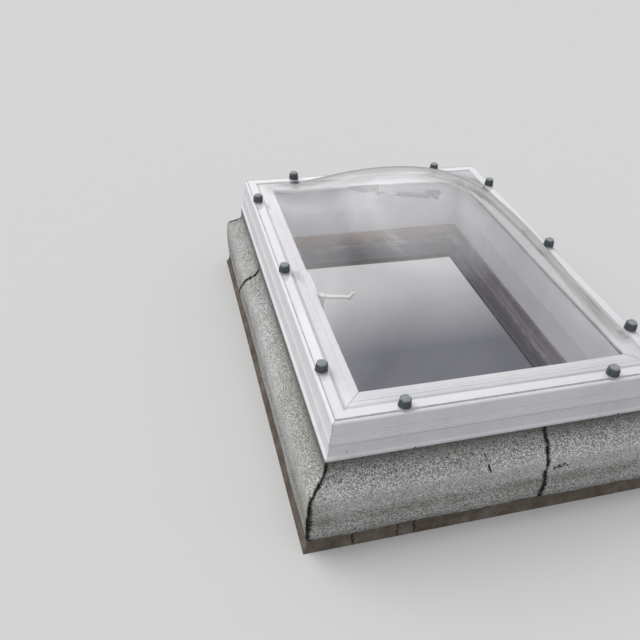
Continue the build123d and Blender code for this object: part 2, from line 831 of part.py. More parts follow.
lever_depth = 20.5
hub = Pos(handle_x, handle_y, z_at(lug_high) + 0.3) * Cylinder(9, 12.5, align=up)
arm_start = (handle_x, handle_y, z_at(lever_depth))
arm_end = (handle_x + handle_length, handle_y, z_at(lever_depth + handle_drop))
arm_length = math.hypot(handle_length, handle_drop)
arm_plane = Plane(origin=arm_start, x_dir=(0, 1, 0), z_dir=(handle_length, 0, -handle_drop))
arm = loft(
    [
        arm_plane * RectangleRounded(13, 9, 3),
        arm_plane.offset(arm_length) * RectangleRounded(11, 8, 3),
    ]
)
knob = Pos(*arm_end) * Rot(0, 35, 0) * Box(9, 11, 26)
knob = fillet(knob.edges(), 3.5)
knob = Pos(-1, 0, 6) * knob
lever = hub + arm + knob
spindle_low = 62.0
spindle = Pos(handle_x, handle_y, z_at(spindle_low)) * Cylinder(
    spindle_radius, spindle_low - lug_high + 10, align=up
)
lever = lever - Pos(handle_x, handle_y, z_at(lug_high) - 1) * Cylinder(
    spindle_radius + running_fit, 11, align=up
)
parts["handle_lever"] = lever

tongue = Pos(handle_x, handle_y + tongue_length / 2, z_at(spindle_low - tongue_thick / 2)) * Box(
    tongue_width, tongue_length, tongue_thick
)
tongue = tongue + Pos(handle_x, handle_y, z_at(spindle_low)) * Cylinder(7.4, tongue_thick, align=up)
parts["handle_spindle"] = spindle + tongue

keeper_lip = 54.5
keeper_x = -half_w + opening_inset
keeper = Pos(keeper_x, handle_y, z_at(keeper_lip)) * Box(
    10, 30, 3, align=(Align.MIN, Align.CENTER, Align.MIN)
)
keeper = keeper + Pos(keeper_x, handle_y, z_at(keeper_lip)) * Box(
    2.5, 46, 16, align=(Align.MIN, Align.CENTER, Align.MAX)
)
parts["latch_keeper"] = keeper

# Wear: the stray hole and the chipped lip on the near side
front_y = -half_l - lip_out
stray_hole = rod_between(
    (stray_hole_x, front_y, z_at(stray_hole_depth)),
    (stray_hole_x, -half_l - 7 + stray_hole_deep, z_at(stray_hole_depth)),
    stray_hole_radius,
)
fixed = fixed - stray_hole
for chip_x in chip_places:
    chip = Pos(chip_x, front_y, z_at(frame_depth)) * Rot(0, 45, 0) * Box(
        chip_height, 2 * lip_thick, chip_height
    )
    fixed = fixed - chip

parts["sash_frame"] = sash
parts["fixed_frame"] = fixed
parts["upstand"] = upstand

os.makedirs("parts", exist_ok=True)
for name, shape in parts.items():
    export_step(shape, "parts/" + name + ".step")
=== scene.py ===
import math

import bpy
from mathutils import Matrix, Vector, noise


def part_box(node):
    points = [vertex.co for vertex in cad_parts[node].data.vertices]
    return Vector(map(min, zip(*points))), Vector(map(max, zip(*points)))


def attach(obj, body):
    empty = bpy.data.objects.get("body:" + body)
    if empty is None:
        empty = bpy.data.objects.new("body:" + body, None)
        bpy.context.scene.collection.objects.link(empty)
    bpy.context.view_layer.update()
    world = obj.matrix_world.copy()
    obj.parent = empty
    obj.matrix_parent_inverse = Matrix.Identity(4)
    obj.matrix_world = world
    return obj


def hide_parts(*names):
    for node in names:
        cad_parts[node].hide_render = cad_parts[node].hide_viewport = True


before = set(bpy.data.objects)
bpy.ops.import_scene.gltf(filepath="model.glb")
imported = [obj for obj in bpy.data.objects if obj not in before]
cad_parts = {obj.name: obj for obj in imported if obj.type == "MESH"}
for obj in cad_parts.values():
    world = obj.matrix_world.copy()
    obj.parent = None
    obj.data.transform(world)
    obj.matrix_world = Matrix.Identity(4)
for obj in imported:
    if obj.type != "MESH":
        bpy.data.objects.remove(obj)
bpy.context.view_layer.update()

mm = 0.001


# Floor: plain pale paint, with an opening in it under the kerb. What is seen of it is
# lighter than the light that it throws back on the window.
def linear(red, green, blue):
    """A colour as a colour picker gives it, 0 to 255, made linear for a shader."""
    out = []
    for value in (red, green, blue):
        part = value / 255
        out.append(part / 12.92 if part <= 0.04045 else ((part + 0.055) / 1.055) ** 2.4)
    return (*out, 1.0)


class Nodes:
    """Short calls that add nodes to one tree and join them."""

    def __init__(self, tree, place):
        self.tree = tree
        self.place = tree.nodes.new("ShaderNodeTexCoord").outputs[place]

    def add(self, kind, inputs, **settings):
        node = self.tree.nodes.new(kind)
        for key, value in settings.items():
            setattr(node, key, value)
        for key, value in inputs.items():
            if isinstance(value, bpy.types.NodeSocket):
                self.tree.links.new(value, node.inputs[key])
            else:
                node.inputs[key].default_value = value
        return node

    def at(self, axis):
        """The place along one axis."""
        return self.add("ShaderNodeSeparateXYZ", {0: self.place}).outputs[axis]

    def calc(self, kind, a, b=0.0):
        return self.add("ShaderNodeMath", {0: a, 1: b}, operation=kind).outputs[0]

    def times(self, a, b):
        return self.calc("MULTIPLY", a, b)

    def off(self, value, middle):
        """How far a value is from a middle, either way."""
        return self.calc("ABSOLUTE", self.calc("SUBTRACT", value, middle))

    def span(self, value, low, high, out_low=0.0, out_high=1.0):
        """A value between low and high, carried over to between the two last ones."""
        inputs = {"Value": value, 1: low, 2: high, 3: out_low, 4: out_high}
        return self.add("ShaderNodeMapRange", inputs).outputs[0]

    def noise(self, scale, detail=4.0, rough=0.55, stretch=None):
        vector = self.place
        if stretch:
            vector = self.add("ShaderNodeMapping", {"Vector": vector, "Scale": stretch}).outputs[0]
        inputs = {"Vector": vector, "Scale": scale, "Detail": detail, "Roughness": rough}
        return self.add("ShaderNodeTexNoise", inputs).outputs[0]

    def cells(self, scale, output):
        inputs = {"Vector": self.place, "Scale": scale}
        return self.add("ShaderNodeTexVoronoi", inputs).outputs[output]

    def ramp(self, value, *stops):
        node = self.add("ShaderNodeValToRGB", {"Fac": value})
        points = node.color_ramp.elements
        while len(points) < len(stops):
            points.new(0.5)
        for point, (place, colour) in zip(points, stops):
            point.position = place
            point.color = colour
        return node.outputs["Color"]

    def mix(self, share, a, b):
        return self.add("ShaderNodeMix", {0: share, 6: a, 7: b}, data_type="RGBA").outputs[2]


class Finish(Nodes):
    """One procedural material: its shader, and calls that feed its sockets."""

    def __init__(self, name, **sockets):
        self.material = bpy.data.materials.new(name)
        self.material.use_nodes = True
        super().__init__(self.material.node_tree, "Object")
        self.shader = self.tree.nodes["Principled BSDF"]
        for socket, value in sockets.items():
            self.shader.inputs[socket.replace("_", " ")].default_value = value
        self.last_bump = None

    def colour(self, value):
        self.tree.links.new(value, self.shader.inputs["Base Color"])

    def roughness(self, value):
        self.tree.links.new(value, self.shader.inputs["Roughness"])

    def bump(self, height, distance, strength=1.0):
        inputs = {"Height": height, "Distance": distance, "Strength": strength}
        if self.last_bump:
            inputs["Normal"] = self.last_bump
        self.last_bump = self.add("ShaderNodeBump", inputs).outputs[0]
        self.tree.links.new(self.last_bump, self.shader.inputs["Normal"])


def new_piece(name, points, faces, finish, smooth=True):
    """A mesh object from its points and faces, with one finish."""
    mesh = bpy.data.meshes.new(name)
    mesh.from_pydata(points, [], faces)
    mesh.materials.append(finish.material)
    mesh.polygons.foreach_set("use_smooth", [smooth] * len(mesh.polygons))
    mesh.update()
    piece = bpy.data.objects.new(name, mesh)
    bpy.context.scene.collection.objects.link(piece)
    return piece


floor_reach = 80.0
opening_x = 400 * mm
opening_y = 550 * mm

paint = Finish("floor_paint", Roughness=0.95)
paint_rays = paint.add("ShaderNodeLightPath", {}).outputs
paint_seen = paint.calc("MAXIMUM", paint_rays["Is Camera Ray"], paint_rays["Is Transmission Ray"])
paint.colour(paint.mix(paint_seen, linear(172, 172, 171), linear(217, 217, 216)))

floor_xs = (-floor_reach, -opening_x, opening_x, floor_reach)
floor_ys = (-floor_reach, -opening_y, opening_y, floor_reach)
floor_points = [(x, y, 0.0) for y in floor_ys for x in floor_xs]
floor_faces = []
for row in range(3):
    for column in range(3):
        if (row, column) != (1, 1):
            corner = row * 4 + column
            floor_faces.append((corner, corner + 1, corner + 5, corner + 4))
floor = new_piece("floor", floor_points, floor_faces, paint, smooth=False)


# Ground below the opening: one dim plain surface with painted light and shade. It glows by
# itself, as no lamp reaches it, lighter towards the far end and darker near, so that the window
# looks down into depth.
ground_reach = 6.0
ground_drop = 1.1
dark_until = 1.2
light_from = 2.4

ground = Finish("room_painted_glow", Base_Color=linear(60, 60, 64), Roughness=0.9, Emission_Strength=1.0)
ground_glow = ground.ramp(
    ground.span(ground.at("Y"), dark_until, light_from),
    (0.0, linear(94, 94, 104)),
    (0.5, linear(178, 178, 181)),
    (1.0, linear(194, 193, 195)),
)
ground.tree.links.new(ground_glow, ground.shader.inputs["Emission Color"])
ground_corners = [(-1, -1), (1, -1), (1, 1), (-1, 1)]
ground_points = [(x * ground_reach, y * ground_reach, -ground_drop) for x, y in ground_corners]
room = new_piece("room", ground_points, [(0, 1, 2, 3)], ground, smooth=False)


# Sky and lamp: an even sky lights the scene, one broad lamp overhead gives it a side,
# and what glossy faces mirror is a cloudy sky, brightest round a veiled sun.
sky_light = 0.55
sky_seen = 0.67
sky_low = 1.1
sky_high = 0.5
to_sun = (0.215, 0.742, 0.635)

world = bpy.data.worlds.new("sky")
bpy.context.scene.world = world
world.use_nodes = True
sky = Nodes(world.node_tree, "Generated")
sky_rays = sky.add("ShaderNodeLightPath", {}).outputs
sky_height = sky.at("Z")
sunward = sky.add("ShaderNodeVectorMath", {0: sky.place, 1: to_sun}, operation="DOT_PRODUCT")
sunward = sunward.outputs["Value"]
mirrored = sky.span(sky_height, 0.4, 0.9, sky_low, sky_high)
mirrored = sky.times(mirrored, sky.span(sky.noise(2.6, 3.0, 0.5), 0.3, 0.7, 0.6, 1.4))
mirrored = sky.times(mirrored, sky.span(sky.at("X"), 0.2, 0.7, 1.0, 0.5))
mirrored = sky.times(mirrored, sky.span(sky_height, 0.0, 0.4, 0.55, 1.0))
mirrored = sky.calc("ADD", mirrored, sky.span(sunward, 0.88, 1.0, 0.0, 0.5))
mirrored = sky.calc("ADD", mirrored, sky.span(sunward, 0.9986, 0.9999, 0.0, 0.7))
lit = sky.span(sky_rays["Is Glossy Ray"], 0.0, 1.0, sky_light, mirrored)
lit = sky.span(sky_rays["Is Camera Ray"], 0.0, 1.0, lit, sky_seen)
background = sky.tree.nodes["Background"]
background.inputs["Color"].default_value = (0.98, 0.98, 1.0, 1.0)
sky.tree.links.new(lit, background.inputs["Strength"])

lamp_side = Vector((-0.55, 0.42, 1.0))
lamp = bpy.data.lights.new("veiled_sun", "SUN")
lamp.energy = 1.6
lamp.angle = math.radians(50)
lamp_object = bpy.data.objects.new("veiled_sun", lamp)
lamp_object.matrix_world = lamp_side.to_track_quat("Z", "Y").to_matrix().to_4x4()
lamp_object.visible_glossy = False
lamp_object.visible_transmission = False
bpy.context.scene.collection.objects.link(lamp_object)

bpy.context.scene.view_settings.view_transform = "Standard"


# Camera: 1.4 m above the floor, outside the front left corner. Its place, turn and tilt
# were found from the straight edges of the sash.
image_width = 640
focal_pixels = 659.19
yaw = math.radians(16.657)
pitch = math.radians(37.790)
roll = math.radians(-3.810)
camera_place = (-0.75503, -1.51071, 1.40317)

forward = Vector(
    (math.sin(yaw) * math.cos(pitch), math.cos(yaw) * math.cos(pitch), -math.sin(pitch))
)
level_right = Vector((math.cos(yaw), -math.sin(yaw), 0.0))
level_down = forward.cross(level_right)
right = level_right * math.cos(roll) + level_down * math.sin(roll)
down = level_down * math.cos(roll) - level_right * math.sin(roll)
camera = bpy.data.cameras.new("camera")
camera.sensor_width = 36.0
camera.lens = focal_pixels / image_width * camera.sensor_width
camera.clip_start = 0.05
camera_object = bpy.data.objects.new("camera", camera)
turned = Matrix((right, -down, -forward)).transposed().to_4x4()
camera_object.matrix_world = Matrix.Translation(camera_place) @ turned
bpy.context.scene.collection.objects.link(camera_object)
bpy.context.scene.camera = camera_object


# Timber kerb: four plain softwood boards, butt-jointed, with the long ones running
# through. They carry everything, and are seen only from below.
sides = ("left", "right", "front", "back")
long_sides = ("left", "right")


def dress(finish, *nodes):
    """Gives CAD nodes their finish."""
    for name in nodes:
        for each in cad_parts[name].material_slots:
            each.material = finish.material


def wood(name, side, dark, light, worn):
    """Sawn wood with its grain along its side: fine streaks and a worn, greyed face."""
    finish = Finish(name, Roughness=0.72)
    fine = (160, 6, 160) if side in long_sides else (6, 160, 160)
    wide = (34, 2.2, 34) if side in long_sides else (2.2, 34, 34)
    grain = finish.noise(1.0, 6, 0.65, stretch=fine)
    band = finish.noise(1.0, 4, 0.5, stretch=wide)
    wear = finish.noise(11.0, 5, 0.65)
    lifted = finish.calc("ADD", finish.times(grain, 0.6), 0.5)
    body = finish.ramp(lifted, (0.25, dark), (0.62, light))
    tone = finish.mix(finish.span(band, 0.35, 0.68), body, dark)
    finish.grained = finish.mix(finish.span(wear, 0.52, 0.72, 0.0, 0.55), tone, worn)
    finish.colour(finish.grained)
    finish.bump(grain, 0.6 * mm, 0.6)
    finish.bump(wear, 1.0 * mm, 0.35)
    return finish


for side in sides:
    softwood = wood(
        "softwood_" + side, side, linear(40, 34, 33), linear(62, 54, 50), linear(66, 60, 60)
    )
    dress(softwood, "kerb_timber_" + side)


# Lining boards: an upper row stained reddish brown and a lower row nearly black, nailed to
# the inside of the kerb. Along their joint runs a pale painted highlight.
lining_low, lining_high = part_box("lining_upper_left")
joint_height = lining_low[2]
top_height = lining_high[2]


def board_line_and_highlight(finish, height, reach, colour, share):
    """An uneven line of a colour along a board at a height; along the joint it is a painted
    highlight.
    """
    line = finish.span(finish.off(finish.at("Z"), height), reach * 0.5, reach, share, 0.0)
    patchy = finish.span(finish.noise(16.0, 6, 0.75), 0.4, 0.62, 0.05, 1.0)
    finish.grained = finish.mix(finish.times(line, patchy), finish.grained, colour)
    finish.colour(finish.grained)


for side in sides:
    if side == "right":
        # Painted shade: the right side's upper boards get a darker, grey-purple copy of the wood's
        # colours in place of reddish brown, for the shade on that wall.
        upper = wood(
            "upper_" + side, side, linear(82, 76, 84), linear(138, 130, 141), linear(180, 176, 188)
        )
    else:
        upper = wood(
            "upper_" + side, side, linear(92, 56, 44), linear(168, 112, 92), linear(120, 96, 86)
        )
        # A darker band along the lower part of the upper boards.
        board_line_and_highlight(upper, joint_height + 14 * mm, 20 * mm, linear(58, 48, 48), 0.95)
    lower = wood(
        "lower_" + side, side, linear(60, 54, 61), linear(106, 98, 108), linear(144, 139, 151)
    )
    # Painted highlight: a paler line along the joint on both rows, where the board edges catch the
    # light.
    board_line_and_highlight(upper, joint_height, 17 * mm, linear(168, 164, 174), 0.85)
    board_line_and_highlight(lower, joint_height, 9 * mm, linear(150, 147, 156), 0.7)
    # A thin orange-brown line along the top edge of the upper boards.
    board_line_and_highlight(upper, top_height, 3 * mm, linear(112, 70, 58), 0.5)
    dress(upper, "lining_upper_" + side)
    dress(lower, "lining_lower_" + side)


# Insulation: strips of yellow foam, cut to the flare of the kerb and laid between
# timber and felt, which close them in on all sides.
foam = Finish("foam", Roughness=0.9)
foam_cells = foam.cells(420.0, "Distance")
foam.colour(foam.ramp(foam_cells, (0.0, linear(176, 158, 104)), (0.6, linear(214, 200, 150))))
foam.bump(foam_cells, 0.6 * mm)
for side in sides:
    dress(foam, "insulation_" + side)


# Upstand: one white plastic moulding with rounded inner corners, greyed by years of
# condensation that ran down its walls.
moulding = Finish("upstand_plastic", Roughness=0.5)
run_marks = moulding.span(moulding.noise(1.0, 5, 0.6, stretch=(26, 26, 2.5)), 0.5, 0.8, 0.0, 0.2)
moulding_cloud = moulding.noise(5.0, 5, 0.6)
clean = moulding.ramp(moulding_cloud, (0.3, linear(232, 231, 232)), (0.7, linear(241, 241, 242)))
moulding.colour(moulding.mix(run_marks, clean, linear(186, 182, 176)))
moulding.bump(moulding.noise(260.0, 3, 0.5), 0.15 * mm)
dress(moulding, "upstand")


# Felt: mineral-faced bitumen sheet, torched over the kerb from under the frame's lip
# down over the flare, in six pieces that meet at the mitres and at two open seams.
half_w = 435 * mm
half_l = 585 * mm
sash_top = 365 * mm
felt_top = 102 * mm
felt_foot = 328 * mm
felt_thick = 4.6 * mm
row_step = 4.5 * mm
arc_step = 3 * mm
lip_cover = 14 * mm
shoulder_depth = 208 * mm
fold_depth = 256 * mm
loose_from = 250 * mm
torn_reach = 16 * mm
foot_tear = 3.0 * mm
mitre_tear = 2.4 * mm
seam_tear = 2.2 * mm
least_gap = 0.3 * mm
most_gape = 1.2 * mm
gape_from = 150 * mm
gape_over = 90 * mm


def rounded(points, radii):
    """A line of straight runs with its corners rounded, as close-set points."""
    line = [Vector(points[0])]
    for index in range(1, len(points) - 1):
        here = Vector(points[index])
        into = (here - Vector(points[index - 1])).normalized()
        out = (Vector(points[index + 1]) - here).normalized()
        radius = radii.get(index, 0.0)
        turn = into.angle(out)
        if not radius:
            line.append(here)
            continue
        reach = radius * math.tan(turn / 2)
        steps = max(2, math.ceil(radius * turn / arc_step))
        start = here - into * reach
        sense = 1 if into.cross(out) > 0 else -1
        side_way = Vector((-into.y, into.x)) * sense
        centre = start + side_way * radius
        for step in range(steps + 1):
            swing = Matrix.Rotation(sense * turn * step / steps, 2)
            line.append(centre + swing @ (start - centre))
    line.append(Vector(points[-1]))
    return line


def spaced(line, step):
    """The same line as points an even step apart."""
    lengths = [0.0]
    for a, b in zip(line, line[1:]):
        lengths.append(lengths[-1] + (b - a).length)
    count = round(lengths[-1] / step)
    out = []
    piece = 0
    for index in range(count + 1):
        want = lengths[-1] * index / count
        while piece < len(line) - 2 and lengths[piece + 1] < want:
            piece += 1
        share = (want - lengths[piece]) / max(lengths[piece + 1] - lengths[piece], 1e-9)
        out.append(line[piece].lerp(line[piece + 1], min(1.0, share)))
    return out


# The kerb's turns in mm, as distance out from the sash edge and depth below the sash top
kerb_turns = [(10.5, 102), (10.5, 111), (11.3, 150), (57, 190), (60, 245), (59, 300), (56, 328)]
kerb_radii = {2: 30 * mm, 3: 24 * mm, 4: 60 * mm, 5: 30 * mm}
kerb_line = rounded([(x * mm, y * mm) for x, y in kerb_turns], kerb_radii)
felt_rows = spaced(kerb_line, row_step)

# The two open seams in mm, as place along the side and depth
front_split = [(100, 95), (102, 120), (116, 158), (108, 188), (111, 236), (118, 270), (123, 340)]
left_seam = [(236, 95), (238, 156), (236, 168), (262, 208), (305, 250), (352, 296), (386, 345)]


def seam_at(seam, depth):
    """Where a seam lies along its side at a depth."""
    for (x0, d0), (x1, d1) in zip(seam, seam[1:]):
        if depth <= d1 * mm:
            return (x0 + (x1 - x0) * (depth / mm - d0) / (d1 - d0)) * mm
    return seam[-1][0] * mm


def on_side(side, along, out, depth):
    """A point on one side of the kerb, from its place along, its distance out and its depth."""
    height = sash_top - depth
    if side == "front":
        return Vector((along, -half_l - out, height))
    if side == "back":
        return Vector((along, half_l + out, height))
    if side == "left":
        return Vector((-half_w - out, along, height))
    return Vector((half_w + out, along, height))


def rough_edge(along, depth, seed, size):
    """How far a torn edge strays, always away from the gap."""
    here = Vector((along * 20, depth / mm * 0.05, seed))
    return size * (0.6 + 0.9 * noise.noise(here) + 0.9 * noise.noise(here * 3.3))


# Stone chips, grey from light to dark and some of them warm, over clumps and patches
felt = Finish("mineral_felt", Roughness=0.92)
felt_height = felt.at("Z")
chip_parts = felt.add("ShaderNodeSeparateColor", {"Color": felt.cells(500.0, "Color")}).outputs
clump = felt.noise(210.0, 3, 0.8)
patch = felt.noise(7.0, 5, 0.6)
moss = felt.noise(55.0, 6, 0.8)
chip_level = felt.calc("ADD", chip_parts[0], felt.span(clump, 0.3, 0.7, -0.3, 0.3))
chip_colour = felt.ramp(
    chip_level,
    (0.0, linear(58, 59, 58)),
    (0.3, linear(140, 141, 141)),
    (0.55, linear(195, 196, 196)),
    (0.8, linear(220, 221, 220)),
    (1.0, linear(244, 245, 244)),
)
# Painted light: the upward-facing shoulder of the flare is made paler.
off_shoulder = felt.off(felt_height, sash_top - shoulder_depth)
shoulder_light = felt.span(off_shoulder, 12 * mm, 45 * mm, 0.3, 0.0)
aged_and_painted_light = felt.mix(shoulder_light, chip_colour, linear(236, 237, 238))
aged_and_painted_light = felt.mix(felt.span(chip_parts[1], 0.5, 0.9, 0.0, 0.3), aged_and_painted_light, linear(132, 124, 100))

# Olive growth, most on the left side; painted shade under the lip; grime in the fold; and darker
# towards the foot
on_left = felt.span(felt.at("X"), -half_w - 6 * mm, -half_w - 2 * mm, 0.6, 0.3)
mossy = felt.times(felt.span(patch, 0.4, 0.62), on_left)
aged_and_painted_light = felt.mix(felt.times(mossy, 0.5), aged_and_painted_light, linear(112, 110, 84))
lip_shade = felt.span(felt_height, sash_top - 165 * mm, sash_top - 112 * mm, 0.0, 0.75)
aged_and_painted_light = felt.mix(lip_shade, aged_and_painted_light, linear(58, 57, 52))
off_fold = felt.off(felt_height, sash_top - fold_depth)
fold_dirt = felt.span(off_fold, 8 * mm, 26 * mm, 0.4, 0.0)
fold_dirt = felt.times(fold_dirt, felt.span(felt.noise(9.0, 5, 0.65), 0.35, 0.6))
aged_and_painted_light = felt.mix(fold_dirt, aged_and_painted_light, linear(104, 99, 80))
# Darker towards the foot of the kerb.
foot_darkening = felt.span(felt_height, 38 * mm, 62 * mm, 0.35, 0.0)
aged_and_painted_light = felt.mix(foot_darkening, aged_and_painted_light, linear(88, 84, 74))

# Bare bitumen where the sheet's own wear marks say that the chips have gone
wear_mark = felt.add("ShaderNodeAttribute", {}, attribute_name="wear").outputs["Fac"]
ragged = felt.calc("ADD", wear_mark, felt.span(moss, 0.3, 0.7, -0.45, 0.45))
lost = felt.mix(felt.span(ragged, 0.5, 0.72, 0.0, 0.75), aged_and_painted_light, linear(70, 62, 52))
felt.colour(felt.mix(felt.span(ragged, 0.8, 0.88), lost, linear(17, 17, 18)))
felt.bump(felt.cells(500.0, "Distance"), 1.0 * mm, 0.6)
felt.bump(clump, 1.0 * mm, 0.4)
felt.bump(patch, 5.0 * mm, 0.25)

# Places where the felt has lost its chips: along, depth and reach in mm, and how far gone
small_split = [(-53, 160, 3.2, 1.1), (-51, 165, 3.4, 1.2), (-52, 170, 3.2, 1.1)]
small_split += [(-48, 179, 3.4, 1.2), (-47, 184, 4.2, 1.25), (-45, 190, 3.6, 1.2)]
lost_chips = [(132, 215, 7, 1.0), (143, 209, 6, 1.1), (150, 214, 5, 1.0)]
lost_chips += [(157, 206, 6, 0.95), (165, 211, 5, 0.9)]
far_split = [(597, 151, 8, 1.3), (609, 162, 9, 1.3), (622, 173, 9, 1.3), (636, 185, 9, 1.2)]
worn_left = [(-60, 235, 12, 0.5), (380, 240, 8, 0.9), (-470, 300, 20, 0.5), (90, 290, 16, 0.45)]
bare_spots = {
    "front": small_split + lost_chips + [(148, 211, 20, 0.62), (-330, 300, 14, 0.5)],
    "left": worn_left + far_split,
    "right": [(200, 230, 15, 0.5), (-340, 280, 18, 0.45)],
    "back": [(120, 250, 16, 0.5), (-250, 200, 10, 0.6)],
}


def bareness(side, along, depth):
    """How far the chips have gone at a place: most in the middle of a bare spot."""
    worst = 0.0
    for spot_along, spot_depth, reach, gone in bare_spots[side]:
        off = math.hypot(along / mm - spot_along, depth / mm - spot_depth) / reach
        worst = max(worst, gone * (1.3 - off) if off < 1.3 else 0.0)
    return worst


def felt_sheet(name, side, start, end, seed):
    """One sheet of felt: a swollen, slightly wavy skin that follows the kerb line."""
    columns = 300 if side in long_sides else 230
    rows = len(felt_rows)
    points = []
    wear = []
    for row, place in enumerate(felt_rows):
        before = felt_rows[max(row - 1, 0)]
        after = felt_rows[min(row + 1, rows - 1)]
        slope = (after - before).normalized()
        out_way = Vector((slope.y, -slope.x))
        fall = max(0.0, (place.y - loose_from) / (felt_foot - loose_from))
        low = start(place.x, place.y)
        high = end(place.x, place.y)
        for column in range(columns + 1):
            along = low + (high - low) * (column / columns)
            here = Vector((along * 5, place.y * 5, seed))
            broad = 0.5 + noise.noise(here)
            fine = 0.5 + noise.noise(here * 7)
            tuck = noise.noise(Vector((along * 7, 0.0, seed + 9)))
            swell = (1.6 * broad + 0.7 * fine) * mm + fall * (tuck * 3.2 - 0.4) * mm
            free = min(1.0, (place.y - felt_top) / lip_cover)
            where = Vector((place.x, place.y)) + out_way * swell * free
            if row == rows - 1:
                where.y += rough_edge(along, 0.0, seed + 3, foot_tear) - 2 * mm
            edge = min(along - low, high - along)
            torn = max(0.0, 1 - edge / torn_reach) * 0.95 + max(0.0, fall - 0.9) * 4
            wear.append(max(torn, bareness(side, along, place.y)))
            points.append(on_side(side, along, where.x, where.y))
    across = columns + 1
    faces = []
    for row in range(rows - 1):
        for column in range(columns):
            a = row * across + column
            quad = (a, a + 1, a + across + 1, a + across)
            faces.append(quad[::-1] if side in ("front", "right") else quad)
    piece = new_piece("sheet_" + name, points, faces, felt)
    layer = piece.data.attributes.new("wear", "FLOAT", "POINT")
    layer.data.foreach_set("value", wear)
    thick = piece.modifiers.new("thickness", "SOLIDIFY")
    thick.thickness = felt_thick
    thick.offset = -1.0
    thick.use_even_offset = False
    evaluated = piece.evaluated_get(bpy.context.evaluated_depsgraph_get())
    solid = bpy.data.meshes.new_from_object(evaluated)
    piece.modifiers.clear()
    piece.data = solid
    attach(piece, "kerb")
    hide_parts("felt_" + name)


def mitre_edge(side, sign, seed):
    """The end of a sheet at a corner of the kerb, torn, with a gap that opens downwards."""
    corner = half_l if side in long_sides else half_w

    def edge(out, depth):
        gape = least_gap + most_gape * min(1.0, max(0.0, (depth - gape_from) / gape_over))
        return sign * (corner + out - gape - rough_edge(sign, depth, seed, mitre_tear))

    return edge


def seam_edge(seam, sign, seed):
    """The end of a sheet at an open seam."""

    def edge(out, depth):
        stray = rough_edge(sign, depth, seed, seam_tear)
        return seam_at(seam, depth) + sign * (least_gap + stray)

    return edge


felt_sheet("left_front", "left", mitre_edge("left", -1, 1), seam_edge(left_seam, -1, 2), 11)
felt_sheet("left_back", "left", seam_edge(left_seam, 1, 3), mitre_edge("left", 1, 4), 12)
felt_sheet("right", "right", mitre_edge("right", -1, 5), mitre_edge("right", 1, 6), 13)
felt_sheet("front_left", "front", mitre_edge("front", -1, 7), seam_edge(front_split, -1, 8), 14)
felt_sheet("front_right", "front", seam_edge(front_split, 1, 9), mitre_edge("front", 1, 10), 15)
felt_sheet("back", "back", mitre_edge("back", -1, 21), mitre_edge("back", 1, 22), 16)


# Bitumen: the black glue in the seams and splits of the felt, poured hot and sunk a
# little below its face as it set.
tar = Finish("tar", Roughness=0.55)
tar_lumps = tar.noise(120.0, 5, 0.65)
tar.colour(tar.ramp(tar_lumps, (0.35, linear(12, 12, 13)), (0.7, linear(40, 39, 38))))
tar.bump(tar_lumps, 2.0 * mm)
dress(tar, "bitumen_seams")


# Foot strips: the edge of the under-sheet that shows below the felt, turned out at the
# foot of the kerb and weathered brown and grey. The front one has split in three places.
front_splits = (-378 * mm, -263 * mm, -220 * mm)


def under_sheet(name):
    """A finish that goes from brown to grey in clouds."""
    finish = Finish(name, Roughness=0.9)
    cloud = finish.noise(18.0, 6, 0.7)
    finish.body = finish.ramp(
        cloud, (0.3, linear(74, 66, 58)), (0.5, linear(104, 95, 85)), (0.7, linear(126, 120, 112))
    )
    finish.bump(cloud, 3.0 * mm, 0.7)
    return finish


strip = under_sheet("weathered_strip")
strip_fine = strip.noise(190.0, 4, 0.7)
strip.colour(strip.mix(strip.span(strip_fine, 0.5, 0.8, 0.0, 0.6), strip.body, linear(58, 50, 44)))
strip.bump(strip_fine, 1.0 * mm, 0.8)
for side in ("left", "right", "back"):
    dress(strip, "foot_strip_" + side)

split_strip = under_sheet("split_strip")
split_stray = split_strip.span(split_strip.noise(60.0, 4, 0.7), 0.3, 0.7, -6 * mm, 6 * mm)
split_at = split_strip.calc("ADD", split_strip.at("X"), split_stray)
for where in front_splits:
    torn = split_strip.span(split_strip.off(split_at, where), 1.6 * mm, 2.8 * mm, 0.95, 0.0)
    split_strip.body = split_strip.mix(torn, split_strip.body, linear(18, 17, 17))
split_strip.colour(split_strip.body)
dress(split_strip, "foot_strip_front")


# Fixed frame and sash: two welded rings of extruded white plastic. Rain has left grey
# streaks on the faces and a hairline at each welded mitre. Darker lines run along the
# profiles, one of them painted shade in the gap under the sash.
inner_lip = 86 * mm


def outward_of(finish):
    """How far out from the sash's edge a place is, and how far off the nearest mitre."""
    from_side = finish.calc("SUBTRACT", finish.calc("ABSOLUTE", finish.at("X")), half_w)
    from_end = finish.calc("SUBTRACT", finish.calc("ABSOLUTE", finish.at("Y")), half_l)
    return finish.calc("MAXIMUM", from_side, from_end), finish.off(from_side, from_end)


def lip_dark_band(finish, outward, depth):
    """Darker along the inner lip under the dome, on the right and less at the far end."""
    wander = finish.span(finish.noise(18.0, 6, 0.75), 0.35, 0.65, -1.5 * mm, 2.5 * mm)
    dark_band = finish.span(finish.calc("ADD", depth, wander), 9 * mm, 12 * mm, 0.0, 0.8)
    off_lip = finish.off(outward, -inner_lip)
    dark_band = finish.times(dark_band, finish.span(off_lip, 1 * mm, 8 * mm, 1.0, 0.0))
    at_right = finish.span(finish.at("X"), 300 * mm, 330 * mm)
    at_far_end = finish.span(finish.at("Y"), 460 * mm, 490 * mm, 0.0, 0.5)
    dark_band = finish.times(dark_band, finish.calc("MAXIMUM", at_right, at_far_end))
    return finish.times(dark_band, finish.span(depth, 15.5 * mm, 17 * mm, 1.0, 0.0))


